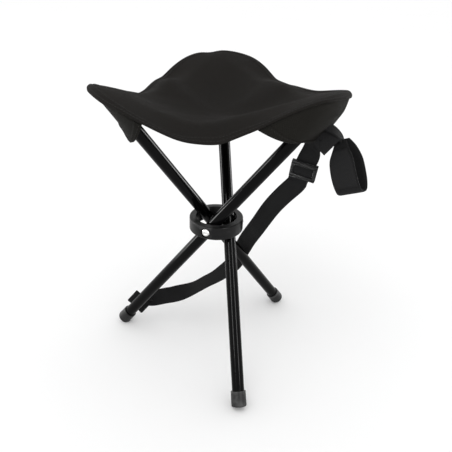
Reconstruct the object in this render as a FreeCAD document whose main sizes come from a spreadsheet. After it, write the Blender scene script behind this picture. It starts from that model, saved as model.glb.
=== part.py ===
"""Folding three-leg stool: hub ring, three riveted tubes, sling seat, carry strap and closure loop.

Millimetres, +Z up. The origin is the floor point under the hub's axis. The front leg's pivot is on +X
of the hub, its foot goes towards -Y and its top towards +Y. The other two legs follow every 120 degrees.
"""

import FreeCAD, Part
import math
import os
import re

import Sketcher

doc = FreeCAD.newDocument("three_leg_stool")
V = FreeCAD.Vector

SIZES = {
    # frame
    "splay": 36.5,
    "pivot_height": 200.0,
    "pivot_radius": 17.0,
    "foot_reach": 243.3,
    "top_reach": 220.8,
    # tubes and their ends
    "tube_radius": 8.0,
    "tube_wall": 1.2,
    "cap_radius": 10.0,
    "cap_mouth_radius": 9.7,
    "cap_length": 20.0,
    "cap_floor": 4.0,
    "cap_round": 2.5,
    "plug_depth": 12.0,
    "plug_dome": 2.0,
    "fit_gap": 0.05,
    # hub ring
    "ring_radius": 36.0,
    "ring_bore": 27.5,
    "ring_height": 18.0,
    "ring_round": 1.6,
    "recess_radius": 7.0,
    "recess_floor": 34.5,
    "spot_floor": 28.5,
    # pivot stack, distances from the hub's axis
    "rivet_radius": 2.5,
    "head_radius": 5.0,
    "head_height": 2.2,
    "dimple_radius": 1.9,
    "tail_radius": 4.0,
    "tail_inner": 6.2,
    "tail_outer": 7.6,
    "backing_outer": 8.65,
    "washer_radius": 6.6,
    "spacer_inner": 25.35,
    # seat
    "seat_turn": 83.5,
    "seat_corner": 158.0,
    "seat_side": 112.0,
    "seat_centre_height": 352.0,
    "corner_rise": 42.0,
    "corner_reach": 152.0,
    "side_swell": 14.0,
    "side_swell_end": 80.0,
    "side_droop": 14.0,
    "side_droop_width": 45.0,
    "seat_thick": 2.4,
    # corner pockets, distances along the tube from its pivot
    "pocket_mouth": 170.0,
    "pocket_end": 225.4,
    "mouth_half_width": 40.0,
    "mouth_half_depth": 17.0,
    "end_half_width": 27.0,
    "end_half_depth": 9.1,
    "pocket_bore": 8.35,
    # carry strap
    "webbing_width": 25.0,
    "webbing_thick": 2.4,
    "buckle_width": 31.0,
    "buckle_length": 23.0,
    "buckle_rail": 2.6,
    "buckle_bar": 4.0,
    "buckle_thick": 3.0,
    "buckle_gap": 0.6,
    "buckle_place": 29.0,
    "tab_reach": 194.0,
    "tab_length": 28.0,
    "tab_width": 30.0,
    "tab_thick": 3.0,
    "anchor_radius": 2.0,
    "anchor_head": 4.5,
    # closure tab and loop
    "closure_tab_width": 26.0,
    "closure_tab_length": 17.0,
    "closure_tab_thick": 2.4,
    "loop_drop": 56.0,
    "loop_half_width": 14.0,
    "loop_shoulder": 6.0,
    "loop_wall": 2.6,
    "loop_band": 28.0,
}

LEGS = {"front": 0, "right": 120, "left": 240}

sheet = doc.addObject("Spreadsheet::Sheet", "Sizes")
for row, (alias, value) in enumerate(SIZES.items(), start=1):
    sheet.set(f"A{row}", alias)
    sheet.set(f"B{row}", str(value))
    sheet.setAlias(f"B{row}", alias)
doc.recompute()


def size(alias):
    return float(sheet.get(alias))


def bound(expression):
    """The expression with every alias pointed at the sheet."""
    return re.sub(r"[a-z_]+", lambda m: "Sizes." + m[0] if m[0] in SIZES else m[0], expression)


def value(expression):
    result = sheet.evalExpression(bound(expression))
    return float(getattr(result, "Value", result))


def leg_rotation(angle):
    """Turns +Z to the leg's upward direction and +X to its pivot's outward direction."""
    return FreeCAD.Rotation(V(0, 0, 1), angle) * FreeCAD.Rotation(V(1, 0, 0), -size("splay"))


def pivot(angle):
    turn = math.radians(angle)
    radius = size("pivot_radius")
    return V(radius * math.cos(turn), radius * math.sin(turn), size("pivot_height"))


def leg_point(angle, across, depth, along):
    """A point in a leg's frame: across the tube, off the tube outwards, and up the tube."""
    return pivot(angle) + leg_rotation(angle).multVec(V(across, depth, along))


def leg_frame(angle, along, across="0", depth="0"):
    """The placement expression of a leg's frame, moved along its tube from the pivot."""
    base = f"create(<<vector>>; pivot_radius * cos({angle}); pivot_radius * sin({angle}); pivot_height)"
    turn = f"create(<<rotation>>; {angle}; 0; -splay)"
    move = f"create(<<vector>>; {across}; {depth}; {along})"
    still = "create(<<rotation>>; 0; 0; 0)"
    return f"create(<<placement>>; {base}; {turn}) * create(<<placement>>; {move}; {still})"


def hub_frame(angle):
    """The placement expression with local +Z outwards through one pivot."""
    turn = f"create(<<rotation>>; {angle}; 90; 0)"
    return f"create(<<placement>>; create(<<vector>>; 0; 0; pivot_height); {turn})"


def plane(body, role):
    return next(f for f in body.Origin.OriginFeatures if f.Role == role)


def new_sketch(body, name, role, offset=None):
    sketch = body.newObject("Sketcher::SketchObject", name)
    sketch.AttachmentSupport = [(plane(body, role), "")]
    sketch.MapMode = "FlatFace"
    if offset:
        sketch.setExpression("AttachmentOffset.Base.z", bound(offset))
    return sketch


def constrain(sketch, kind, geometry, point, word):
    """A distance from the sketch's origin, bound to the sheet. A distance of 0 is a point on the axis."""
    if word == "0":
        axis = -2 if kind == "DistanceX" else -1
        sketch.addConstraint(Sketcher.Constraint("PointOnObject", geometry, point, axis))
        return
    rule = Sketcher.Constraint(kind, -1, 1, geometry, point, value(word))
    index = sketch.addConstraint(rule)
    sketch.setExpression(f"Constraints[{index}]", bound(word))


def draw_outline(sketch, corners):
    """A closed outline of straight lines through corners given as (x, y) expressions."""
    points = [V(value(x), value(y), 0) for x, y in corners]
    first = sketch.GeometryCount
    count = len(points)
    for i, point in enumerate(points):
        sketch.addGeometry(Part.LineSegment(point, points[(i + 1) % count]), False)
    for i in range(count):
        following = first + (i + 1) % count
        sketch.addConstraint(Sketcher.Constraint("Coincident", first + i, 2, following, 1))
    for i, (x, y) in enumerate(corners):
        constrain(sketch, "DistanceX", first + i, 1, x)
        constrain(sketch, "DistanceY", first + i, 1, y)


def draw_circle(sketch, x, y, radius):
    geometry = sketch.addGeometry(Part.Circle(V(value(x), value(y), 0), V(0, 0, 1), value(radius)), False)
    constrain(sketch, "DistanceX", geometry, 3, x)
    constrain(sketch, "DistanceY", geometry, 3, y)
    index = sketch.addConstraint(Sketcher.Constraint("Radius", geometry, value(radius)))
    sketch.setExpression(f"Constraints[{index}]", bound(radius))


parts = []


def new_body(name, frame):
    body = doc.addObject("PartDesign::Body", name)
    body.Label = name
    body.setExpression("Placement", bound(frame))
    parts.append(body)
    return body


def turned(name, frame, profile):
    """A body turned about its own +Z from a profile of (radius, height) corners."""
    body = new_body(name, frame)
    sketch = new_sketch(body, name + "_profile", "XZ_Plane")
    draw_outline(sketch, profile)
    turn = body.newObject("PartDesign::Revolution", name + "_turn")
    turn.Profile = sketch
    turn.ReferenceAxis = (sketch, ["V_Axis"])
    turn.Angle = 360
    doc.recompute()
    return body


def padded(name, frame, outlines, length):
    """A body padded upwards from the closed outlines in its own XY plane."""
    body = new_body(name, frame)
    sketch = new_sketch(body, name + "_profile", "XY_Plane")
    for outline in outlines:
        draw_outline(sketch, outline)
    pad = body.newObject("PartDesign::Pad", name + "_pad")
    pad.Profile = sketch
    pad.setExpression("Length", bound(length))
    doc.recompute()
    return body


def round_edges(body, radius, wanted):
    """Rounds the circular edges whose radius and height satisfy a test."""
    base = body.Tip
    edges = []
    for i, edge in enumerate(base.Shape.Edges, start=1):
        curve = edge.Curve
        if isinstance(curve, Part.Circle) and wanted(curve.Radius, curve.Center.z):
            edges.append(f"Edge{i}")
    fillet = body.newObject("PartDesign::Fillet", body.Name + "_round")
    fillet.Base = (base, edges)
    fillet.setExpression("Radius", bound(radius))
    doc.recompute()


def pocket(body, name, sketch, length, both=False):
    """A pocket along the sketch's own normal, or to both sides of it."""
    before = body.Shape.Volume
    cut = body.newObject("PartDesign::Pocket", name)
    cut.Profile = sketch
    cut.Reversed = True
    cut.Midplane = both
    cut.setExpression("Length", bound(length))
    doc.recompute()
    if cut.Shape.Volume >= before:
        raise ValueError(name + " removes nothing")
    return cut


def shaped(name, shape):
    """A sub-part whose solid is built in place from sizes read off the sheet."""
    feature = doc.addObject("Part::Feature", name)
    feature.Label = name
    feature.Shape = shape
    parts.append(feature)
    return feature


# ---- hub ----

def make_ring():
    frame = "create(<<placement>>; create(<<vector>>; 0; 0; pivot_height - ring_height / 2);"
    frame += " create(<<rotation>>; 0; 0; 0))"
    profile = [("ring_bore", "0"), ("ring_radius", "0"), ("ring_radius", "ring_height"),
               ("ring_bore", "ring_height")]
    body = turned("hub_ring", frame, profile)
    round_edges(body, "ring_round", lambda radius, z: radius > size("ring_bore") + 1)
    cuts = []
    for name, start, radius, length in (
        ("rivet_bore", "1", "rivet_radius + 0.1", "ring_radius + 5"),
        ("head_recess", "recess_floor", "recess_radius", "6"),
        ("spacer_seat", "1", "recess_radius + 0.2", "spot_floor - 1"),
    ):
        sketch = new_sketch(body, name + "_circle", "YZ_Plane", start)
        draw_circle(sketch, "0", "ring_height / 2", radius)
        cuts.append(pocket(body, name, sketch, length))
    pattern = body.newObject("PartDesign::PolarPattern", "three_pivots")
    pattern.Originals = cuts
    pattern.Axis = (plane(body, "Z_Axis"), [""])
    pattern.Angle = 360
    pattern.Occurrences = 3
    body.Tip = pattern
    doc.recompute()


def make_pivot(leg, angle):
    frame = hub_frame(angle)
    face = "recess_floor + head_height"
    turned("pivot_rivet_" + leg, frame, [
        ("0", "tail_inner"), ("tail_radius", "tail_inner"), ("tail_radius", "tail_outer"),
        ("rivet_radius", "tail_outer"), ("rivet_radius", "recess_floor"), ("head_radius", "recess_floor"),
        ("head_radius", "recess_floor + 0.7"), ("head_radius - 0.9", "recess_floor + 1.6"),
        ("dimple_radius + 0.5", face), ("dimple_radius", face + " - 0.2"),
        ("dimple_radius - 0.6", face + " - 0.8"), ("0", face + " - 0.8")])
    bore = "rivet_radius + 0.1"
    turned("pivot_spacer_" + leg, frame, [
        (bore, "spacer_inner"), ("washer_radius", "spacer_inner"), ("washer_radius", "spot_floor"),
        (bore, "spot_floor")])
    turned("backing_washer_" + leg, frame, [
        (bore, "tail_outer"), ("washer_radius - 1.6", "tail_outer"),
        ("washer_radius - 1.6", "backing_outer"), (bore, "backing_outer")])


# ---- legs ----

def make_tube(leg, angle):
    inner = "tube_radius - tube_wall"
    length = "foot_reach - cap_floor + top_reach"
    name = "leg_tube_" + leg
    body = turned(name, leg_frame(angle, "cap_floor - foot_reach"), [
        (inner, "0"), ("tube_radius", "0"), ("tube_radius", length), (inner, length)])
    sketch = new_sketch(body, name + "_bore", "YZ_Plane")
    draw_circle(sketch, "0", "foot_reach - cap_floor", "rivet_radius + fit_gap")
    pocket(body, name + "_pivot", sketch, "2 * tube_radius + 4", both=True)
    if leg == "left":
        sketch = new_sketch(body, name + "_strap_circle", "YZ_Plane", "-tube_radius - 1")
        draw_circle(sketch, "0", "foot_reach - cap_floor - tab_reach - tab_length / 2", "anchor_radius + 0.1")
        pocket(body, name + "_strap_bore", sketch, "tube_radius + 1")


def make_cap(leg, angle):
    name = "foot_cap_" + leg
    mouth = "tube_radius + fit_gap"
    body = turned(name, leg_frame(angle, "-foot_reach"), [
        ("0", "0"), ("cap_radius", "0"), ("cap_mouth_radius", "cap_length"), (mouth, "cap_length"),
        (mouth, "cap_floor - 0.1"), ("0", "cap_floor - 0.1")])
    round_edges(body, "cap_round", lambda radius, z: radius > size("cap_mouth_radius") and z < 1)
    drop = "(pivot_height - foot_reach * cos(splay))"
    reach = "cap_radius + 2"
    sketch = new_sketch(body, name + "_floor", "YZ_Plane")
    draw_outline(sketch, [
        (drop + " / sin(splay)", "0"), (reach, "0"),
        (reach, f"({reach}) * tan(splay) - {drop} / cos(splay)")])
    pocket(body, name + "_sole", sketch, "4 * cap_radius", both=True)


def make_plug(leg, angle):
    shank = "tube_radius - tube_wall - fit_gap"
    turned("tube_plug_" + leg, leg_frame(angle, "top_reach - plug_depth"), [
        ("0", "0"), (shank, "0"), (shank, "plug_depth"), ("tube_radius", "plug_depth"),
        ("tube_radius", "plug_depth + plug_dome"), ("tube_radius - 1.5", "plug_depth + plug_dome + 1.2"),
        ("0", "plug_depth + plug_dome + 1.2")])


def ellipse(angle, along, half_width, half_depth):
    """A wire across a leg's tube."""
    shape = Part.Ellipse(V(0, 0, 0), half_width, half_depth).toShape()
    wire = Part.Wire([shape])
    wire.Placement = FreeCAD.Placement(leg_point(angle, 0, 0, along), leg_rotation(angle))
    return wire


def make_pocket(leg, angle):
    mouth = ellipse(angle, size("pocket_mouth"), size("mouth_half_width"), size("mouth_half_depth"))
    end = ellipse(angle, size("pocket_end"), size("end_half_width"), size("end_half_depth"))
    body = Part.makeLoft([mouth, end], True)
    start = leg_point(angle, 0, 0, size("pocket_mouth") - 5)
    depth = size("pocket_end") - size("pocket_mouth") + 5 - 1.0
    bore = Part.makeCylinder(size("pocket_bore"), depth, start, leg_rotation(angle).multVec(V(0, 0, 1)))
    shaped("corner_pocket_" + leg, body.cut(bore))


# ---- seat ----

def ease(x):
    x = min(max(x, 0.0), 1.0)
    return x * x * (3 - 2 * x)


def corner_share(turn):
    """1 towards a corner of the seat and 0 towards the middle of a side."""
    return (1 + math.cos(math.radians(3 * (turn - size("seat_turn"))))) / 2


def seat_reach(turn):
    share = corner_share(turn)
    blend = 0.35 * share + 0.65 * ease(share)
    return size("seat_side") + (size("seat_corner") - size("seat_side")) * blend


def seat_height(x, y):
    radius = math.hypot(x, y)
    share = corner_share(math.degrees(math.atan2(y, x))) ** 0.8
    base = size("seat_centre_height")
    corner = base + size("corner_rise") * ease((radius / size("corner_reach")) ** 1.3)
    swell = size("side_swell") * ease(radius / size("side_swell_end"))
    droop = size("side_droop") * ease((radius - size("side_swell_end")) / size("side_droop_width"))
    side = base + swell - droop
    return side + (corner - side) * share


def make_seat():
    steps = 24
    reach = size("seat_corner") + 12
    grid = []
    for i in range(steps + 1):
        x = reach * (2 * i / steps - 1)
        ys = [reach * (2 * j / steps - 1) for j in range(steps + 1)]
        grid.append([V(x, y, seat_height(x, y)) for y in ys])
    surface = Part.BSplineSurface()
    surface.interpolate(grid)
    slab = surface.toShape().extrude(V(0, 0, -size("seat_thick")))
    outline = []
    for i in range(60):
        turn = 6 * i
        angle = math.radians(turn)
        outline.append(V(seat_reach(turn) * math.cos(angle), seat_reach(turn) * math.sin(angle), 250))
    curve = Part.BSplineCurve()
    curve.interpolate(outline, PeriodicFlag=True)
    prism = Part.Face(Part.Wire([curve.toShape()])).extrude(V(0, 0, 250))
    shaped("seat_panel", slab.common(prism).Solids[0])


# ---- straps ----

def band(points, normals, width, thick):
    """A flat band along points. normals gives the direction that its flat side faces at each point."""
    wires = []
    for i, point in enumerate(points):
        back = points[max(i - 1, 0)]
        ahead = points[min(i + 1, len(points) - 1)]
        along = (ahead - back).normalize()
        across = along.cross(normals[i]).normalize()
        half = across * (width / 2)
        deep = across.cross(along) * (thick / 2)
        wires.append(Part.makePolygon([
            point - half - deep, point + half - deep, point + half + deep, point - half + deep,
            point - half - deep]))
    return Part.makeLoft(wires, True, True)


STRAP_START = V(102.6, -61.8, 321)
STRAP_BEND = V(94, -40, 271)
STRAP_FACE = V(-0.23, -0.88, 0.42)


def make_straps():
    width = size("webbing_width")
    thick = size("webbing_thick")
    straight = STRAP_START + (STRAP_BEND - STRAP_START) * 0.9
    upper = [STRAP_START, straight, STRAP_BEND, V(80, -27, 246), V(72, -14, 226), V(63, 10, 190),
             V(54, 36, 152), V(50, 52, 128)]
    shaped("carry_strap_upper", band(upper, [STRAP_FACE] * len(upper), width, thick))
    lower = [V(49.5, 57, 124.5), V(45, 66, 108), V(42, 70.5, 95), V(35, 71, 84), V(12, 69, 67), V(-5, 67, 58),
             V(-21, 65, 50), V(-38, 63, 45), V(-56, 61, 42), V(-71, 60, 40), V(-86, 59, 36)]
    normals = [STRAP_FACE, STRAP_FACE, STRAP_FACE, V(-0.2, -0.6, 0.75), V(-0.1, -0.3, 0.95),
               V(-0.1, -0.2, 0.97), V(-0.1, -0.2, 0.97), V(-0.2, -0.5, 0.8), V(-0.25, -0.7, 0.65),
               STRAP_FACE, STRAP_FACE]
    shaped("carry_strap_lower", band(lower, normals, width, thick))


def make_strap_tab():
    angle = LEGS["left"]
    name = "strap_foot_tab"
    frame = leg_frame(angle, "-tab_reach - tab_length", "-tube_radius - tab_thick", "-tab_width / 2")
    body = padded(name, frame, [[
        ("0", "0"), ("tab_thick", "0"), ("tab_thick", "tab_width"), ("0", "tab_width")]], "tab_length")
    sketch = new_sketch(body, name + "_circle", "YZ_Plane")
    draw_circle(sketch, "tab_width / 2", "tab_length / 2", "anchor_radius + 0.1")
    pocket(body, name + "_bore", sketch, "tab_thick + 1")
    outward = " * create(<<placement>>; create(<<vector>>; 0; 0; 0); create(<<rotation>>; 0; -90; 0))"
    seat = "tube_radius + tab_thick"
    turned("strap_rivet", leg_frame(angle, "-tab_reach - tab_length / 2") + outward, [
        ("0", "4.6"), ("3.2", "4.6"), ("3.2", "5.8"), ("anchor_radius", "5.8"), ("anchor_radius", seat),
        ("anchor_head", seat), ("anchor_head", seat + " + 0.8"), ("anchor_head - 1.2", seat + " + 1.6"),
        ("0", seat + " + 1.6")])


def make_adjuster():
    """A ladder buckle: two rails joined by two bars in front of the strap and one behind it."""
    along = (STRAP_BEND - STRAP_START).normalize()
    across = along.cross(STRAP_FACE).normalize()
    normal = across.cross(along)
    rotation = FreeCAD.Rotation(across, normal, along, "ZXY")
    centre = STRAP_START + along * size("buckle_place")
    wide = size("buckle_width")
    long = size("buckle_length")
    rail = size("buckle_rail")
    bar = size("buckle_bar")
    deep = size("buckle_thick")
    off = size("webbing_thick") / 2 + size("buckle_gap")

    def block(x, y, z, sx, sy, sz):
        return Part.makeBox(sx, sy, sz, V(x - sx / 2, y, z - sz / 2))

    tall = 2 * (off + deep)
    solids = [block(side * (wide - rail) / 2, -off - deep, 0, rail, tall, long) for side in (-1, 1)]
    front = off if normal.dot(STRAP_FACE) > 0 else -off - deep
    back = -off - deep if front > 0 else off
    for end in (-1, 1):
        solids.append(block(0, front, end * (long - bar) / 2, wide, deep, bar))
    solids.append(block(0, back, 0, wide, deep, bar))
    shape = solids[0].multiFuse(solids[1:]).removeSplitter()
    feature = shaped("strap_adjuster", shape)
    feature.Placement = FreeCAD.Placement(centre, rotation)


# ---- closure tab and loop ----

LOOP_TOP = V(131.5, -83, 342)
LOOP_UP = V(-0.20, 0.40, 0.89)
LOOP_ACROSS = V(0.68, -0.55, 0.46)
TAB_RUN = V(0.655, -0.497, -0.576)
TAB_FACE = V(-0.33, -0.87, 0.37)


def make_closure():
    tab_end = LOOP_TOP + V(-15, -6, -6)
    tab_start = tab_end - TAB_RUN * size("closure_tab_length")
    tab = band([tab_start, tab_end], [TAB_FACE] * 2, size("closure_tab_width"), size("closure_tab_thick"))
    shaped("closure_tab", tab)
    up = V(LOOP_UP).normalize()
    across = LOOP_ACROSS - up * LOOP_ACROSS.dot(up)
    across.normalize()
    front = across.cross(up)
    drop = size("loop_drop")
    half = size("loop_half_width")
    shoulder = size("loop_shoulder")
    outline = [(shoulder / 2, 0), (half * 0.75, 0.30 * drop), (half, 0.62 * drop), (half * 0.9, 0.85 * drop),
               (half * 0.35, drop), (-half * 0.35, drop), (-half * 0.9, 0.85 * drop), (-half, 0.62 * drop),
               (-half * 0.75, 0.30 * drop), (-shoulder / 2, 0)]
    edge = -across * (size("loop_band") / 2)
    points = [LOOP_TOP + front * depth - up * fall + edge for depth, fall in outline]
    outer = Part.Face(Part.makePolygon(points + points[:1]))
    inner = outer.makeOffset2D(-size("loop_wall"))
    wide = across * size("loop_band")
    shaped("closure_loop", outer.extrude(wide).cut(inner.extrude(wide)))


def build():
    make_ring()
    for leg, angle in LEGS.items():
        make_pivot(leg, angle)
    for leg, angle in LEGS.items():
        make_tube(leg, angle)
        make_cap(leg, angle)
        make_plug(leg, angle)
        make_pocket(leg, angle)
    make_seat()
    make_straps()
    make_strap_tab()
    make_adjuster()
    make_closure()


def write_parts():
    doc.recompute()
    for obj in doc.Objects:
        if "Invalid" in obj.State or "Error" in obj.State:
            raise ValueError(obj.Name + " did not recompute")
    os.makedirs("parts", exist_ok=True)
    for part in parts:
        if part.Shape.isNull() or not part.Shape.isValid():
            raise ValueError(part.Label + " has no valid shape")
        part.Shape.exportStep(f"parts/{part.Label}.step")


build()
write_parts()
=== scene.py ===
"""Looks of the folding three leg stool: cloth, webbing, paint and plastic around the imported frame."""
import math

import bmesh
import bpy
from mathutils import Matrix, Vector


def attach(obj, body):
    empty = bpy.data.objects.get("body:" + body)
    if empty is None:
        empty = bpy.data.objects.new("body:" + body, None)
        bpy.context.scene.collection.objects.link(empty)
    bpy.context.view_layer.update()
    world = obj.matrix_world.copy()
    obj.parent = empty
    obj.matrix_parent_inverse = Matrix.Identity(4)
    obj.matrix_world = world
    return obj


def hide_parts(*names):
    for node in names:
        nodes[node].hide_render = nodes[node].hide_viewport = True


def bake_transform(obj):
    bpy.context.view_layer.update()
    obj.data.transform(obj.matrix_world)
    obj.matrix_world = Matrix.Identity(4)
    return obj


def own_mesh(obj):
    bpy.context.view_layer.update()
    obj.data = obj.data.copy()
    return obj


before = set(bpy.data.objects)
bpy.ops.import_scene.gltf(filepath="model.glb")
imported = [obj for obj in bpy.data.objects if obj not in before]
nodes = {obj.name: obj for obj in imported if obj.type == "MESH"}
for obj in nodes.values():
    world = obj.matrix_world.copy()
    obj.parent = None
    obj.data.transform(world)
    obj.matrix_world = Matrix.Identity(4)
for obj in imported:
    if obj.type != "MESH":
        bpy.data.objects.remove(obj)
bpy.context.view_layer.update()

# ---- sizes, in metres ----
SPLAY = math.radians(36.5)
PIVOT_RADIUS = 0.017
PIVOT_HEIGHT = 0.200
SEAT_CORNER = 0.158
SEAT_SIDE = 0.112
SEAT_TURN = 83.5
SEAT_CENTRE = 0.352
SEAT_THICK = 0.0016
HEM = 0.0095
CORNER_RISE = 0.042
SIDE_SWELL = 0.014
LEGS = {"front": 0, "right": 120, "left": 240}


# ---- materials ----

def new_material(name):
    material = bpy.data.materials.new(name)
    material.use_nodes = True
    tree = material.node_tree
    shader = tree.nodes["Principled BSDF"]
    return material, tree, shader


def math_node(tree, operation, a, b=None):
    made = tree.nodes.new("ShaderNodeMath")
    made.operation = operation
    for i, value in enumerate((a, b)):
        if value is None:
            continue
        if isinstance(value, (int, float)):
            made.inputs[i].default_value = value
        else:
            tree.links.new(value, made.inputs[i])
    return made.outputs[0]


def noise(tree, vector, scale, detail=4.0, roughness=0.6):
    made = tree.nodes.new("ShaderNodeTexNoise")
    made.inputs["Scale"].default_value = scale
    made.inputs["Detail"].default_value = detail
    made.inputs["Roughness"].default_value = roughness
    tree.links.new(vector, made.inputs["Vector"])
    return made.outputs["Fac"]


def ramp(tree, factor, low, high, start=0.0, end=1.0):
    made = tree.nodes.new("ShaderNodeValToRGB")
    made.color_ramp.elements[0].position = start
    made.color_ramp.elements[0].color = (*low, 1)
    made.color_ramp.elements[1].position = end
    made.color_ramp.elements[1].color = (*high, 1)
    tree.links.new(factor, made.inputs["Fac"])
    return made.outputs["Color"]


def spread(tree, factor, low, high, start=0.0, end=1.0):
    made = tree.nodes.new("ShaderNodeMapRange")
    made.inputs["From Min"].default_value = start
    made.inputs["From Max"].default_value = end
    made.inputs["To Min"].default_value = low
    made.inputs["To Max"].default_value = high
    tree.links.new(factor, made.inputs["Value"])
    return made.outputs["Result"]


def bump(tree, shader, heights):
    """Bumps in a chain, each (height, depth in metres)."""
    normal = None
    for height, depth in heights:
        made = tree.nodes.new("ShaderNodeBump")
        made.inputs["Strength"].default_value = 1.0
        made.inputs["Distance"].default_value = depth
        tree.links.new(height, made.inputs["Height"])
        if normal is not None:
            tree.links.new(normal, made.inputs["Normal"])
        normal = made.outputs["Normal"]
    tree.links.new(normal, shader.inputs["Normal"])


def place(tree, kind):
    return tree.nodes.new("ShaderNodeTexCoord").outputs[kind]


def parts_of(tree, vector):
    made = tree.nodes.new("ShaderNodeSeparateXYZ")
    tree.links.new(vector, made.inputs[0])
    return made.outputs


def cloth_material(name, dark, light, pitch, rough=0.86):
    """Plain-weave cloth. UV is in metres, so pitch is the thread spacing."""
    material, tree, shader = new_material(name)
    uv = place(tree, "UV")
    at = place(tree, "Object")
    axes = parts_of(tree, uv)
    turn = 2 * math.pi / (2 * pitch)
    wobble = noise(tree, at, 60, 2)
    shift = math_node(tree, "MULTIPLY", wobble, pitch * 3)
    along = math_node(tree, "SINE", math_node(tree, "MULTIPLY", math_node(tree, "ADD", axes[0], shift), turn))
    across = math_node(tree, "SINE", math_node(tree, "MULTIPLY", math_node(tree, "ADD", axes[1], shift), turn))
    weave = math_node(tree, "MULTIPLY", along, across)
    grain = noise(tree, at, 900, 2)
    broad = noise(tree, at, 14, 5)
    mix = math_node(tree, "ADD", math_node(tree, "MULTIPLY", broad, 0.6),
                    math_node(tree, "MULTIPLY", spread(tree, weave, 0, 1, -1, 1), 0.25))
    mix = math_node(tree, "ADD", mix, math_node(tree, "MULTIPLY", grain, 0.15))
    tree.links.new(ramp(tree, mix, dark, light, 0.3, 0.75), shader.inputs["Base Color"])
    tree.links.new(spread(tree, broad, rough - 0.08, rough + 0.08, 0.3, 0.7), shader.inputs["Roughness"])
    shader.inputs["Specular IOR Level"].default_value = 0.08
    bump(tree, shader, [(broad, 0.0015), (weave, 0.00016), (grain, 0.00008)])
    return material


def webbing_material(name, dark, light, rib=0.0014):
    """Ribbed webbing. U is the distance across the band and V along it, in metres."""
    material, tree, shader = new_material(name)
    at = place(tree, "Object")
    axes = parts_of(tree, place(tree, "UV"))
    ribs = math_node(tree, "SINE", math_node(tree, "MULTIPLY", axes[0], 2 * math.pi / rib))
    zigzag = math_node(tree, "PINGPONG", axes[0], 0.0035)
    picks = math_node(tree, "SINE", math_node(
        tree, "MULTIPLY", math_node(tree, "ADD", axes[1], zigzag), 2 * math.pi / 0.0016))
    grain = noise(tree, at, 1100, 2)
    broad = noise(tree, at, 35, 4)
    weave = math_node(tree, "ADD", math_node(tree, "MULTIPLY", ribs, 0.5), math_node(tree, "MULTIPLY", picks, 0.5))
    mix = math_node(tree, "ADD", math_node(tree, "MULTIPLY", spread(tree, weave, 0, 1, -1, 1), 0.45),
                    math_node(tree, "MULTIPLY", broad, 0.55))
    tree.links.new(ramp(tree, mix, dark, light, 0.2, 0.8), shader.inputs["Base Color"])
    tree.links.new(spread(tree, broad, 0.58, 0.78, 0.3, 0.7), shader.inputs["Roughness"])
    shader.inputs["Specular IOR Level"].default_value = 0.10
    bump(tree, shader, [(weave, 0.00028), (grain, 0.0001)])
    return material


def hard_material(name, dark, light, rough, grain_size, depth, metallic=0.0, coat=0.0, wear=0.0, specular=0.25):
    """Paint, plastic, rubber or metal with a fine grain and a broad change of roughness."""
    material, tree, shader = new_material(name)
    at = place(tree, "Object")
    grain = noise(tree, at, grain_size, 3)
    broad = noise(tree, at, 45, 5)
    colour = ramp(tree, broad, dark, light, 0.35, 0.7)
    if wear:
        edge = tree.nodes.new("ShaderNodeNewGeometry").outputs["Pointiness"]
        patchy = math_node(tree, "MULTIPLY", edge, math_node(tree, "ADD", broad, 0.5))
        worn = spread(tree, patchy, 0, 1, 0.53, 0.62)
        made = tree.nodes.new("ShaderNodeMix")
        made.data_type = "RGBA"
        tree.links.new(math_node(tree, "MULTIPLY", worn, wear), made.inputs["Factor"])
        tree.links.new(colour, made.inputs["A"])
        made.inputs["B"].default_value = (0.16, 0.16, 0.16, 1)
        colour = made.outputs["Result"]
    tree.links.new(colour, shader.inputs["Base Color"])
    tree.links.new(spread(tree, broad, rough * 0.85, min(1.0, rough * 1.15), 0.3, 0.7), shader.inputs["Roughness"])
    shader.inputs["Metallic"].default_value = metallic
    shader.inputs["Coat Weight"].default_value = coat
    shader.inputs["Coat Roughness"].default_value = 0.12
    shader.inputs["Specular IOR Level"].default_value = specular
    bump(tree, shader, [(grain, depth)])
    return material


seat_cloth = cloth_material("seat_cloth", (0.0085, 0.0076, 0.0068), (0.0150, 0.0134, 0.0119), 0.0008)
under_cloth = cloth_material("pocket_cloth", (0.0078, 0.0073, 0.0060), (0.0135, 0.0126, 0.0106), 0.0008)
thread = hard_material("thread", (0.012, 0.0115, 0.011), (0.020, 0.019, 0.018), 0.8, 900, 0.00008)
webbing = webbing_material("webbing", (0.0055, 0.0055, 0.0058), (0.0150, 0.0150, 0.0156))
# Lighter cloth: the closure tab's own colour, and painted light where it lies over the closure loop as the loop's
# lit side
tab_and_painted_lit_loop_cloth = cloth_material("tab_and_painted_lit_loop_cloth", (0.0112, 0.0112, 0.0116), (0.0224, 0.0224, 0.0230), 0.0012)
paint = hard_material("tube_paint", (0.0012, 0.0012, 0.0013), (0.0022, 0.0022, 0.0024), 0.13, 500, 0.00001,
                      specular=0.07)
hub_plastic = hard_material("hub_plastic", (0.0040, 0.0040, 0.0042), (0.0070, 0.0070, 0.0072), 0.34, 1400, 0.00006,
                            wear=0.2, specular=0.16)
rubber = hard_material("foot_rubber", (0.0070, 0.0070, 0.0072), (0.0120, 0.0120, 0.0123), 0.45, 1200, 0.00008,
                       wear=0.3)
buckle_plastic = hard_material("buckle_plastic", (0.0080, 0.0080, 0.0083), (0.0140, 0.0140, 0.0145), 0.34, 1400,
                               0.00005, wear=0.25)
steel = hard_material("rivet_steel", (0.62, 0.62, 0.61), (0.80, 0.80, 0.79), 0.30, 800, 0.00003, metallic=1.0)
black_steel = hard_material("washer_steel", (0.020, 0.020, 0.020), (0.045, 0.045, 0.045), 0.35, 800, 0.00003,
                            metallic=0.6)
nylon = hard_material("spacer_nylon", (0.005, 0.005, 0.005), (0.008, 0.008, 0.008), 0.5, 1200, 0.00005)

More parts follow.
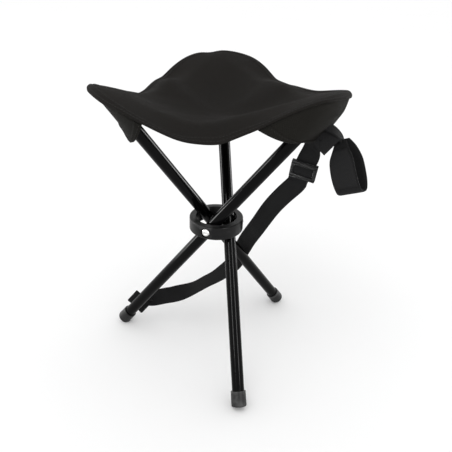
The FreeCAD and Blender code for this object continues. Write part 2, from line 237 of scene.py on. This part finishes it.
for name, obj in nodes.items():
    if name.startswith("leg_tube"):
        look = paint
    elif name.startswith("foot_cap"):
        look = rubber
    elif name == "hub_ring":
        look = hub_plastic
    elif name.startswith("pivot_spacer") or name.startswith("tube_plug"):
        look = nylon
    elif name.startswith("backing_washer"):
        look = black_steel
    elif "rivet" in name:
        look = steel
    else:
        look = webbing
    obj.data.materials.clear()
    obj.data.materials.append(look)


# ---- meshes ----

def add_mesh(name, points, faces, material, uvs=None, smooth=True):
    mesh = bpy.data.meshes.new(name)
    mesh.from_pydata([tuple(p) for p in points], [], faces)
    mesh.materials.append(material)
    if smooth:
        mesh.polygons.foreach_set("use_smooth", [True] * len(mesh.polygons))
    if uvs is not None:
        layer = mesh.uv_layers.new(name="UVMap")
        for loop in mesh.loops:
            layer.data[loop.index].uv = uvs[loop.vertex_index]
    mesh.update()
    obj = bpy.data.objects.new(name, mesh)
    bpy.context.scene.collection.objects.link(obj)
    return obj


def ease(x):
    x = min(max(x, 0.0), 1.0)
    return x * x * (3 - 2 * x)


def bell(x, width):
    return math.exp(-(x / width) ** 2)


def leg_axes(angle):
    turn = math.radians(angle)
    across = Vector((math.cos(turn), math.sin(turn), 0))
    side = Vector((-math.sin(turn), math.cos(turn), 0))
    return across, side


def leg_point(angle, across, depth, along):
    """A point in a leg's frame: across the tube, off it outwards, and up it, from the pivot."""
    a, side = leg_axes(angle)
    up = side * math.sin(SPLAY) + Vector((0, 0, math.cos(SPLAY)))
    out = side * math.cos(SPLAY) - Vector((0, 0, math.sin(SPLAY)))
    return a * (PIVOT_RADIUS + across) + out * depth + up * along + Vector((0, 0, PIVOT_HEIGHT))


# ---- seat ----

def corner_share(turn):
    return (1 + math.cos(math.radians(3 * (turn - SEAT_TURN)))) / 2


def seat_reach(turn):
    share = corner_share(turn)
    return SEAT_SIDE + (SEAT_CORNER - SEAT_SIDE) * (0.35 * share + 0.65 * ease(share))


# The hem's rises and dips against a plain sling: the direction and half width of each, in degrees, and its
# height. The cloth rises along the right of the front side, all along the right side and by the left tip.
HEM_WAVES = ((-118, 22, -0.008), (-60, 24, 0.013), (20, 28, 0.016), (106, 12, -0.002), (134, 15, 0.010),
             (192, 24, 0.003))


def hem_lift(turn):
    return sum(height * bell((turn - at + 180) % 360 - 180, wide) for at, wide, height in HEM_WAVES)


def seat_height(x, y):
    radius = math.hypot(x, y)
    if radius < 1e-9:
        return SEAT_CENTRE
    turn = math.degrees(math.atan2(y, x))
    share = corner_share(turn)
    bend = share ** 0.8
    corner = SEAT_CENTRE + CORNER_RISE * ease((radius / 0.152) ** 1.3)
    side = SEAT_CENTRE + SIDE_SWELL * ease(radius / 0.080) - SIDE_SWELL * ease((radius - 0.080) / 0.045)
    inside = seat_reach(turn) - radius
    rolled = 0.004 if abs(turn - SEAT_TURN) > 60 else 0.0008
    curl = rolled * ease((share - 0.8) / 0.2) * max(0.0, 1 - max(inside, 0) / 0.010) ** 2
    curl += 0.0028 * bell(turn - 88, 4.5) * bell(inside, 0.016)
    lift = hem_lift(turn) * ease(radius / seat_reach(turn)) ** 1.3
    away = math.radians((turn - SEAT_TURN) % 120 - 60)
    ridge = 0.0018 * bell(radius * math.cos(away) - SEAT_CORNER / 2, 0.012)
    pulls = 0.0003 * math.sin(away * 15 + 2 * math.sin(radius * 50)) * ease((radius - 0.03) / 0.07)
    inner = 1 - ease((radius - 0.100) / 0.035)
    return side + (corner - side) * bend + lift - curl + (ridge + pulls) * inner


def seat_under(x, y):
    return seat_height(x, y) - SEAT_THICK


def outline_point(turn):
    angle = math.radians(turn)
    return Vector((math.cos(angle), math.sin(angle), 0)) * seat_reach(turn)


def petal_plan(corner, steps):
    """Plan points of a third of the seat: a grid from the centre to both mid-sides and round the corner."""
    first = outline_point(corner - 60)
    last = outline_point(corner + 60)
    tip = outline_point(corner)
    grid = []
    for i in range(steps + 1):
        a = 1 - (1 - i / steps) ** 1.35
        row = []
        for j in range(steps + 1):
            b = 1 - (1 - j / steps) ** 1.35
            low = first * a
            left = last * b
            high = outline_point(corner + 60 - 60 * a)
            right = outline_point(corner - 60 + 60 * b)
            point = low * (1 - b) + high * b + left * (1 - a) + right * a
            point = point - first * (a * (1 - b)) - last * ((1 - a) * b) - tip * (a * b)
            row.append(point)
        grid.append(row)
    return grid


def seat_surface(point):
    """Top and underside of the cloth over a plan point, with the hem's folded thickness."""
    x, y = point.x, point.y
    radius = math.hypot(x, y)
    turn = math.degrees(math.atan2(y, x))
    inside = seat_reach(turn) - radius
    swell = 0.0007 * (1 - ease((inside - HEM + 0.0006) / 0.0012))
    round_off = SEAT_THICK * 0.5 * (1 - ease(inside / 0.0012))
    height = seat_height(x, y)
    return height + swell - round_off, height - SEAT_THICK - swell + round_off


def make_seat():
    steps = 72
    keys = {}
    points = []
    uvs = []
    petals = []

    def add(point, layer, z):
        key = (round(point.x, 6), round(point.y, 6), layer)
        if key not in keys:
            keys[key] = len(points)
            points.append((point.x, point.y, z))
            uvs.append((point.x, point.y))
        return keys[key]

    for leg, corner in (("front", SEAT_TURN), ("right", SEAT_TURN + 120), ("left", SEAT_TURN + 240)):
        grid = petal_plan(corner, steps)
        top = []
        under = []
        for row in grid:
            tops = []
            unders = []
            for point in row:
                high, low = seat_surface(point)
                tops.append(add(point, 1, high))
                unders.append(add(point, 0, low))
            top.append(tops)
            under.append(unders)
        faces = []
        for i in range(steps):
            for j in range(steps):
                faces.append((top[i][j], top[i + 1][j], top[i + 1][j + 1], top[i][j + 1]))
                faces.append((under[i][j], under[i][j + 1], under[i + 1][j + 1], under[i + 1][j]))
        for j in range(steps):
            faces.append((top[steps][j], under[steps][j], under[steps][j + 1], top[steps][j + 1]))
            faces.append((top[j][steps], top[j + 1][steps], under[j + 1][steps], under[j][steps]))
        caps = []
        for k in range(steps):
            caps.append((top[k][0], under[k][0], under[k + 1][0], top[k + 1][0]))
            caps.append((top[0][k], top[0][k + 1], under[0][k + 1], under[0][k]))
        petals.append((leg, corner, faces, caps))
    whole = bpy.data.meshes.new("whole_seat")
    whole.from_pydata(points, [], [face for petal in petals for face in petal[2]])
    whole.update()
    normals = [Vector(v.normal) for v in whole.vertices]
    made = []
    for leg, corner, shown, caps in petals:
        faces = shown + caps
        used = sorted({i for face in faces for i in face})
        index = {old: new for new, old in enumerate(used)}
        obj = add_mesh("seat_cloth_" + leg, [points[i] for i in used],
                       [tuple(index[i] for i in face) for face in faces], seat_cloth,
                       [uvs[i] for i in used])
        obj.data.normals_split_custom_set_from_vertices([normals[i] for i in used])
        made.append((leg, corner, obj))
    bpy.data.meshes.remove(whole)
    return made


def seat_blend(obj):
    """Bake a piece's placement into its mesh."""
    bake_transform(obj)


seat_parts = make_seat()
for leg, corner, obj in seat_parts:
    seat_blend(obj)
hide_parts("seat_panel")


# ---- stitching and hems ----

def add_stitches(name, rows, material, length=0.0026, gap=0.0011, radius=0.00028):
    """Threads lying along rows of (point, normal). Each stitch is a small pointed bead."""
    verts = []
    faces = []
    for row in rows:
        travel = 0.0
        wanted = 0.0
        for (a, normal), (b, _) in zip(row, row[1:]):
            step = (b - a).length
            while step > 0 and wanted <= travel + step:
                at = a.lerp(b, (wanted - travel) / step)
                along = (b - a).normalized()
                side = along.cross(normal).normalized()
                first = len(verts)
                verts.append(at - along * length / 2 - normal * radius)
                for share in (-0.28, 0.28):
                    centre = at + along * length * share
                    for k in range(6):
                        angle = k * math.pi / 3
                        verts.append(centre + side * (math.cos(angle) * radius * 1.5)
                                     + normal * (math.sin(angle) * radius + radius * 0.4))
                verts.append(at + along * length / 2 - normal * radius)
                for k in range(6):
                    n = (k + 1) % 6
                    faces.append((first, first + 1 + n, first + 1 + k))
                    faces.append((first + 1 + k, first + 1 + n, first + 7 + n, first + 7 + k))
                    faces.append((first + 7 + k, first + 7 + n, first + 13))
                wanted += length + gap
            travel += step
    return add_mesh(name, verts, faces, material)


def hem_row(corner, inset):
    row = []
    for i in range(481):
        turn = corner - 60 + 120 * i / 480
        flat = outline_point(turn)
        flat -= flat.normalized() * inset
        high = seat_surface(flat)[0]
        row.append((Vector((flat.x, flat.y, high)), Vector((0, 0, 1))))
    return row


for leg, corner, obj in seat_parts:
    stitches = add_stitches("seat_stitching_" + leg, [hem_row(corner, HEM - 0.0022), hem_row(corner, 0.0022)],
                            thread)
    seat_blend(stitches)


# ---- corner pockets ----

# Half the angle that a pocket spans along the hem at its mouth, and at its tip.
MOUTH_TURN = 38
TIP_TURN = 4
# Each pocket: its corner's direction, how many degrees its mouth reaches to each side along the hem,
# how far it hangs off the tube's axis at its mouth and at its tip, and how far up the tube its mouth is.
POCKETS = {
    "front": (SEAT_TURN, MOUTH_TURN, MOUTH_TURN, 0.014, 0.011, 0.182),
    "right": (SEAT_TURN + 120, MOUTH_TURN, 25, 0.0105, 0.0065, 0.186),
    "left": (SEAT_TURN + 240, 41, MOUTH_TURN, 0.0155, 0.0155, 0.188),
}
TIP_ALONG = 0.238


def pocket_point(leg, u, v, swell=0.0):
    """u runs across the pocket from hem to hem, -1 to 1, and v from its mouth to its tip."""
    corner, near, far, mouth_hang, tip_hang, mouth_along = POCKETS[leg]
    across, side = leg_axes(LEGS[leg])
    ends = []
    for sign, widest in ((-1, near), (1, far)):
        end = outline_point(corner + sign * (widest + (TIP_TURN - widest) * v ** 0.75))
        ends.append(end - end.normalized() * 0.0025)
    middle = (ends[0] + ends[1]) / 2
    half = (ends[1] - ends[0]) / 2
    tube_u = (PIVOT_RADIUS - middle.dot(across)) / half.dot(across)
    flat = middle + half * u
    top = Vector((flat.x, flat.y, seat_under(flat.x, flat.y) - 0.0004))
    at_tube = middle + half * tube_u
    at_tube.z = seat_under(at_tube.x, at_tube.y)
    hang = mouth_hang + (tip_hang - mouth_hang) * v
    sag = leg_point(LEGS[leg], 0, hang, mouth_along + (TIP_ALONG - mouth_along) * v) - at_tube
    away = abs(u - tube_u) / (1 - tube_u if u > tube_u else 1 + tube_u)
    profile = 1 - min(away, 1.0) ** 3.8
    taper = 1 - ease((v - 0.86) / 0.14)
    out = side * math.cos(SPLAY) - Vector((0, 0, math.sin(SPLAY)))
    return top + sag * (profile * taper) + out * swell


def make_pocket(leg):
    across_steps = 56
    along_steps = 40
    points = []
    uvs = []
    faces = []
    for i in range(along_steps + 1):
        for j in range(across_steps + 1):
            u = -1 + 2 * j / across_steps
            points.append(pocket_point(leg, u, i / along_steps))
            uvs.append((0.06 * u, 0.07 * i / along_steps))
    wide = across_steps + 1
    for i in range(along_steps):
        for j in range(across_steps):
            a = i * wide + j
            faces.append((a, a + 1, a + wide + 1, a + wide))
    obj = add_mesh("pocket_cloth_" + leg, points, faces, under_cloth, uvs)
    solid = obj.modifiers.new("thick", "SOLIDIFY")
    solid.thickness = 0.0014
    solid.offset = 0
    apply_modifiers(obj)
    return obj


def apply_modifiers(obj):
    graph = bpy.context.evaluated_depsgraph_get()
    mesh = bpy.data.meshes.new_from_object(obj.evaluated_get(graph))
    obj.modifiers.clear()
    obj.data = mesh


def make_pocket_hem(leg):
    """The turned mouth of a pocket, a band a little proud of the pocket's cloth."""
    points = []
    uvs = []
    faces = []
    for i in range(7):
        for j in range(57):
            u = -1 + 2 * j / 56
            edge = 0.0004 if i in (0, 6) else 0.0014
            points.append(pocket_point(leg, u * 0.995, 0.012 * i, edge))
            uvs.append((0.06 * u, 0.0012 * i))
    for i in range(6):
        for j in range(56):
            a = i * 57 + j
            faces.append((a, a + 1, a + 58, a + 57))
    obj = add_mesh("pocket_hem_" + leg, points, faces, under_cloth, uvs)
    solid = obj.modifiers.new("thick", "SOLIDIFY")
    solid.thickness = 0.0012
    solid.offset = 0
    apply_modifiers(obj)
    return obj


for leg, corner, _ in seat_parts:
    pouch = make_pocket(leg)
    band = make_pocket_hem(leg)
    rows = [[(pocket_point(leg, -0.97 + 1.94 * k / 120, v, 0.0022), Vector((0, 0, -1))) for k in range(121)]
            for v in (0.012, 0.052)]
    seams = add_stitches("pocket_stitching_" + leg, rows, thread)
    for extra in (band, seams):
        seat_blend(extra)
    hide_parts("corner_pocket_" + leg)
    seat_blend(pouch)


# ---- webbing ----

def curve_through(points, step=0.0025):
    """Samples of a smooth line through the points. Whatever goes with a point is blended along with it."""
    samples = []
    count = len(points)
    for i in range(count - 1):
        p0 = points[max(i - 1, 0)]
        p1 = points[i]
        p2 = points[i + 1]
        p3 = points[min(i + 2, count - 1)]
        parts = max(2, int((p2[0] - p1[0]).length / step))
        for k in range(parts):
            t = k / parts
            samples.append(tuple(
                (b * 2 + (c - a) * t + (a * 2 - b * 5 + c * 4 - d) * t * t + (b * 3 - a - c * 3 + d) * t ** 3) / 2
                for a, b, c, d in zip(p0, p1, p2, p3)))
    samples.append(points[-1])
    return samples


def make_band(name, points, width, thick, material):
    """A webbing band along (position, facing) points, with rounded edges.

    A point may carry its own width as a third value, when all of them do."""
    samples = curve_through(points)
    section = []
    columns = 12
    for k in range(columns + 1):
        section.append((-0.5 + k / columns, 1))
    for k in range(columns + 1):
        section.append((0.5 - k / columns, -1))
    verts = []
    uvs = []
    travel = 0.0
    for i, (at, facing, *own) in enumerate(samples):
        wide = own[0] if own else width
        back = samples[max(i - 1, 0)][0]
        ahead = samples[min(i + 1, len(samples) - 1)][0]
        along = (ahead - back).normalized()
        across = along.cross(facing).normalized()
        normal = across.cross(along)
        if i:
            travel += (at - samples[i - 1][0]).length
        for x, face in section:
            edge = 1 - 0.55 * ease((abs(x) - 0.44) / 0.06)
            verts.append(at + across * (x * wide) + normal * (face * thick / 2 * edge))
            uvs.append((x * width + (0.1 if face < 0 else 0), travel))
    faces = []
    size = len(section)
    for i in range(len(samples) - 1):
        for k in range(size):
            n = (k + 1) % size
            faces.append((i * size + k, i * size + n, (i + 1) * size + n, (i + 1) * size + k))
    faces.append(tuple(range(size)))
    faces.append(tuple(reversed(range((len(samples) - 1) * size, len(samples) * size))))
    obj = add_mesh(name, verts, faces, material, uvs)
    mesh = bmesh.new()
    mesh.from_mesh(obj.data)
    bmesh.ops.recalc_face_normals(mesh, faces=mesh.faces)
    mesh.to_mesh(obj.data)
    mesh.free()
    return obj


def mm(x, y, z):
    return Vector((x, y, z)) / 1000


FACE = Vector((-0.23, -0.88, 0.42))
SIDEWAYS = Vector((-0.85, -0.45, 0.2))
FLAT_UP = Vector((-0.1, -0.2, 0.97))
WEBBING = 0.025
STRAP_START = mm(102.6, -61.8, 321)
STRAP_BEND = mm(94, -40, 271)


def make_strap():
    run = (STRAP_BEND - STRAP_START)
    left = LEGS["left"]
    strap = make_band("carry_strap", [
        (mm(101, -72, 347), SIDEWAYS), (mm(102.6, -66.5, 334), SIDEWAYS), (STRAP_START, (FACE + SIDEWAYS) / 2),
        (STRAP_START + run * 0.3, FACE), (STRAP_START + run * 0.85, FACE), (STRAP_BEND, FACE),
        (mm(80.5, -29, 249), Vector((-0.4, -0.8, 0.42))), (mm(70, -14, 224), Vector((-0.4, -0.8, 0.42))),
        (mm(60, 9, 187), Vector((-0.4, -0.8, 0.42))), (mm(52, 35, 151), FACE), (mm(49, 54, 126), FACE),
        (mm(45, 64, 108), FACE), (mm(42, 68, 95), FACE), (mm(33, 69, 83), Vector((-0.2, -0.6, 0.75))),
        (mm(12, 68, 67), Vector((-0.1, -0.3, 0.95))), (mm(-5, 67, 58), FLAT_UP), (mm(-21, 65, 50), FLAT_UP),
        (mm(-38, 63, 44.5), Vector((-0.2, -0.5, 0.8))), (mm(-56, 61, 41), Vector((-0.2, -0.88, 0.42))),
        (mm(-71, 60, 39.5), Vector((-0.16, -0.9, 0.38))), (mm(-86, 60, 36.5), Vector((-0.25, -0.92, 0.25))),
        (mm(-97, 60, 35), Vector((-0.5, -0.86, 0))),
        (leg_point(left, -0.0121, 0.0035, -0.199), Vector((-0.5, -0.866, 0))),
        (leg_point(left, -0.0120, -0.004, -0.208), Vector((-0.5, -0.866, 0)))], WEBBING, 0.0017, webbing)
    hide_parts("carry_strap_upper", "carry_strap_lower")
    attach(strap, "leg_left")
    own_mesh(strap)


def box_part(mesh, centre, size, axes, bevel):
    """A block with rounded edges, added to a bmesh."""
    made = bmesh.ops.create_cube(mesh, size=1)
    across, normal, along = axes
    for vert in made["verts"]:
        x, y, z = vert.co.x * size[0], vert.co.y * size[1], vert.co.z * size[2]
        vert.co = centre + across * x + normal * y + along * z
    edges = list({edge for vert in made["verts"] for edge in vert.link_edges})
    bmesh.ops.bevel(mesh, geom=edges, offset=bevel, segments=3, profile=0.5, affect="EDGES")


def mesh_object(name, mesh, material):
    data = bpy.data.meshes.new(name)
    bmesh.ops.recalc_face_normals(mesh, faces=mesh.faces)
    mesh.to_mesh(data)
    mesh.free()
    data.materials.append(material)
    data.polygons.foreach_set("use_smooth", [True] * len(data.polygons))
    obj = bpy.data.objects.new(name, data)
    bpy.context.scene.collection.objects.link(obj)
    return obj


def make_buckle():
    """The ladder buckle, and the turn of webbing over its middle bar."""
    along = (STRAP_BEND - STRAP_START).normalized()
    right = FACE.cross(along).normalized()
    if right.x < 0:
        right = -right
    normal = right.cross(along)
    if normal.dot(FACE) < 0:
        normal = -normal
    centre = STRAP_START + along * 0.029 + right * 0.0012
    tilt = math.radians(9)
    across = right * math.cos(tilt) - along * math.sin(tilt)
    along = along * math.cos(tilt) + right * math.sin(tilt)
    axes = (across, normal, along)
    mesh = bmesh.new()
    for side in (-1, 1):
        for k in range(7):
            z = (k - 3) * 0.0031
            bow = 0.0007 * (1 - (k - 3) ** 2 / 9)
            box_part(mesh, centre + across * (side * 0.0142) + along * z + normal * (0.0016 + bow),
                     (0.0026, 0.0040, 0.0040), axes, 0.0008)
    for z, y, deep, high in ((-0.0098, 0.0030, 0.0028, 0.0036), (0.0098, 0.0030, 0.0028, 0.0036),
                             (0.0, -0.0030, 0.0026, 0.0040)):
        box_part(mesh, centre + along * z + normal * y, (0.0300, deep, high), axes, 0.0009)
    for k in range(9):
        box_part(mesh, centre + along * 0.0098 + normal * 0.0044 + across * ((k - 4) * 0.0026),
                 (0.0010, 0.0007, 0.0030), axes, 0.0002)
    buckle = mesh_object("strap_buckle", mesh, buckle_plastic)
    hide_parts("strap_adjuster")
    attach(buckle, "adjuster")
    fold = make_band("strap_buckle_fold", [
        (centre - along * 0.0078 + normal * 0.0018, normal), (centre - along * 0.0055 + normal * 0.0036, normal),
        (centre + normal * 0.0046, normal), (centre + along * 0.0055 + normal * 0.0036, normal),
        (centre + along * 0.0078 + normal * 0.0018, normal)], WEBBING - 0.001, 0.0016, webbing)
    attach(fold, "adjuster")


def make_strap_end():
    """The strap's end, folded double behind the left leg and riveted to it."""
    angle = LEGS["left"]
    across, side = leg_axes(angle)
    up = side * math.sin(SPLAY) + Vector((0, 0, math.cos(SPLAY)))
    for name, depth, long in (("strap_end_inner", -0.0090, 0.0285), ("strap_end_outer", -0.0105, 0.0300)):
        points = []
        for k in range(7):
            share = -0.5 + k / 6
            droop = 0.0009 * (share * 2) ** 2
            points.append((leg_point(angle, depth + droop, share * long, -0.205), -across))
        layer = make_band(name, points, 0.028, 0.0014, webbing)
        if name == "strap_end_outer":
            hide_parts("strap_foot_tab")
        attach(layer, "leg_left")
    rows = []
    box = 0.011
    for low, high in (((-box, -box), (box, box)), ((-box, box), (box, -box)),
                      ((-box, -box), (-box, box)), ((box, -box), (box, box))):
        row = []
        for k in range(13):
            depth = low[0] + (high[0] - low[0]) * k / 12
            along = low[1] + (high[1] - low[1]) * k / 12
            row.append((leg_point(angle, -0.0113, depth, -0.205 + along), -across))
        rows.append(row)
    seams = add_stitches("strap_end_stitching", rows, thread)
    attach(seams, "leg_left")


LOOP_TOP = mm(131.5, -83, 342)
TAB_RUN = Vector((0.655, -0.497, -0.576))
TAB_FACE = Vector((-0.33, -0.87, 0.37))


def make_closure():
    up = Vector((-0.20, 0.40, 0.89)).normalized()
    across = Vector((0.68, -0.55, 0.46))
    across = (across - up * across.dot(up)).normalized()
    front = across.cross(up)

    def on_loop(depth, fall):
        facing = front * (depth / 14) - up * ((fall - 33) / 30)
        at = LOOP_TOP + front * (depth / 1000) - up * (fall / 1000) - across * 0.0012
        return at, facing.normalized()

    path = [(2, -2, 13), (7, 8, 20), (11.5, 20, 29), (13.5, 35, 31), (12, 49, 31), (7, 58, 31), (0, 60, 31),
            (-7, 58, 31), (-12, 49, 31), (-13.5, 36, 31), (-12, 22, 31), (-7.5, 8, 26), (-2, -2, 18)]
    loop = make_band("closure_loop_webbing", [(*on_loop(*p[:2]), p[2] / 1000) for p in path],
                             0.028, 0.0018, webbing)
    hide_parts("closure_loop")
    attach(loop, "loop")
    # Painted light: a lighter band over the front of the loop's webbing stands for the side of the loop that faces
    # the lamps
    patch = make_band("closure_loop_painted_lit_side", [(*on_loop(*p[:2]), p[2] / 1000) for p in (
        (8.6, 8.5, 16), (12.8, 20, 25), (14.9, 34, 28.5), (14.1, 45, 28.5), (12.4, 52, 28.5))], 0.028, 0.0014,
                         tab_and_painted_lit_loop_cloth)
    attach(patch, "loop")
    end = LOOP_TOP + mm(-13, -5, -5)
    tab = make_band("closure_tab_webbing", [
        (end - TAB_RUN * 0.022, TAB_FACE), (end - TAB_RUN * 0.014, TAB_FACE), (end - TAB_RUN * 0.007, TAB_FACE),
        (end, TAB_FACE)], 0.026, 0.0022, tab_and_painted_lit_loop_cloth)
    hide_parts("closure_tab")
    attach(tab, "leg_left")
    keeper = make_band("closure_keeper", [
        (mm(109, -80, 360), Vector((0.3, -0.7, 0.7))), (mm(117, -81, 356.5), Vector((0.4, -0.7, 0.6))),
        (mm(124, -82, 351.5), Vector((0.6, -0.65, 0.5))), (mm(128.5, -82.5, 346.5), Vector((0.7, -0.6, 0.4))),
        (mm(131, -83, 342), Vector((0.8, -0.5, 0.3)))], 0.012, 0.0024, webbing)
    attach(keeper, "leg_left")


make_strap()
make_buckle()
make_strap_end()
make_closure()


# ---- camera, light and floor ----

def look_camera():
    data = bpy.data.cameras.new("camera")
    data.sensor_width = 36
    data.lens = 45.5
    camera = bpy.data.objects.new("camera", data)
    bpy.context.scene.collection.objects.link(camera)
    azimuth, elevation = math.radians(-7.51), math.radians(28.11)
    yaw, pitch, roll = math.radians(0.99), math.radians(-0.38), math.radians(1.5)
    toward = Vector((math.sin(azimuth) * math.cos(elevation), -math.cos(azimuth) * math.cos(elevation),
                     math.sin(elevation)))
    ahead = -toward
    right = ahead.cross(Vector((0, 0, 1))).normalized()
    up = right.cross(ahead)
    ahead, right = (ahead * math.cos(yaw) + right * math.sin(yaw), right * math.cos(yaw) - ahead * math.sin(yaw))
    ahead, up = (ahead * math.cos(pitch) + up * math.sin(pitch), up * math.cos(pitch) - ahead * math.sin(pitch))
    right, up = (right * math.cos(roll) + up * math.sin(roll), up * math.cos(roll) - right * math.sin(roll))
    place_at = Vector((0, 0, 0.1993)) + toward * 0.7713
    turn = Matrix((right, up, -ahead)).transposed().to_4x4()
    camera.matrix_world = Matrix.Translation(place_at) @ turn
    bpy.context.scene.camera = camera


def area_light(name, at, toward, size, power):
    data = bpy.data.lights.new(name, "AREA")
    data.shape = "RECTANGLE"
    data.size, data.size_y = size
    data.energy = power
    light = bpy.data.objects.new(name, data)
    bpy.context.scene.collection.objects.link(light)
    at = Vector(at)
    light.location = at
    light.rotation_euler = (Vector(toward) - at).to_track_quat("-Z", "Y").to_euler()
    return light


def make_floor():
    floor = add_mesh("floor", [(-6, -6, 0), (6, -6, 0), (6, 6, 0), (-6, 6, 0)], [(0, 1, 2, 3)],
                     floor_material(), smooth=False)


def floor_material():
    material, tree, shader = new_material("floor_white")
    broad = noise(tree, place(tree, "Object"), 2)
    tree.links.new(ramp(tree, broad, (0.93, 0.93, 0.93), (0.95, 0.95, 0.95)), shader.inputs["Base Color"])
    shader.inputs["Roughness"].default_value = 0.9
    shader.inputs["Specular IOR Level"].default_value = 0.1
    return material


def make_light():
    bpy.context.scene.view_settings.view_transform = "Standard"
    world = bpy.data.worlds.new("studio")
    bpy.context.scene.world = world
    world.use_nodes = True
    background = world.node_tree.nodes["Background"]
    background.inputs["Color"].default_value = (1, 1, 1, 1)
    background.inputs["Strength"].default_value = 1.06
    area_light("key", (-0.7, -0.7, 2.0), (0, 0, 0.25), (1.0, 1.0), 5)
    for name, at, size, power in (("front_left", (-1.05, -1.10, 1.10), (0.30, 0.9), 16),
                                  ("front_right", (0.85, -1.25, 1.10), (0.30, 0.9), 16),
                                  ("back_left", (-1.50, 0.55, 0.32), (0.40, 0.6), 14),
                                  ("back_right", (1.50, 0.45, 0.32), (0.40, 0.6), 14)):
        panel = area_light(name, at, (0, 0, 0.2), size, power)
        panel.visible_diffuse = False


look_camera()
make_floor()
make_light()
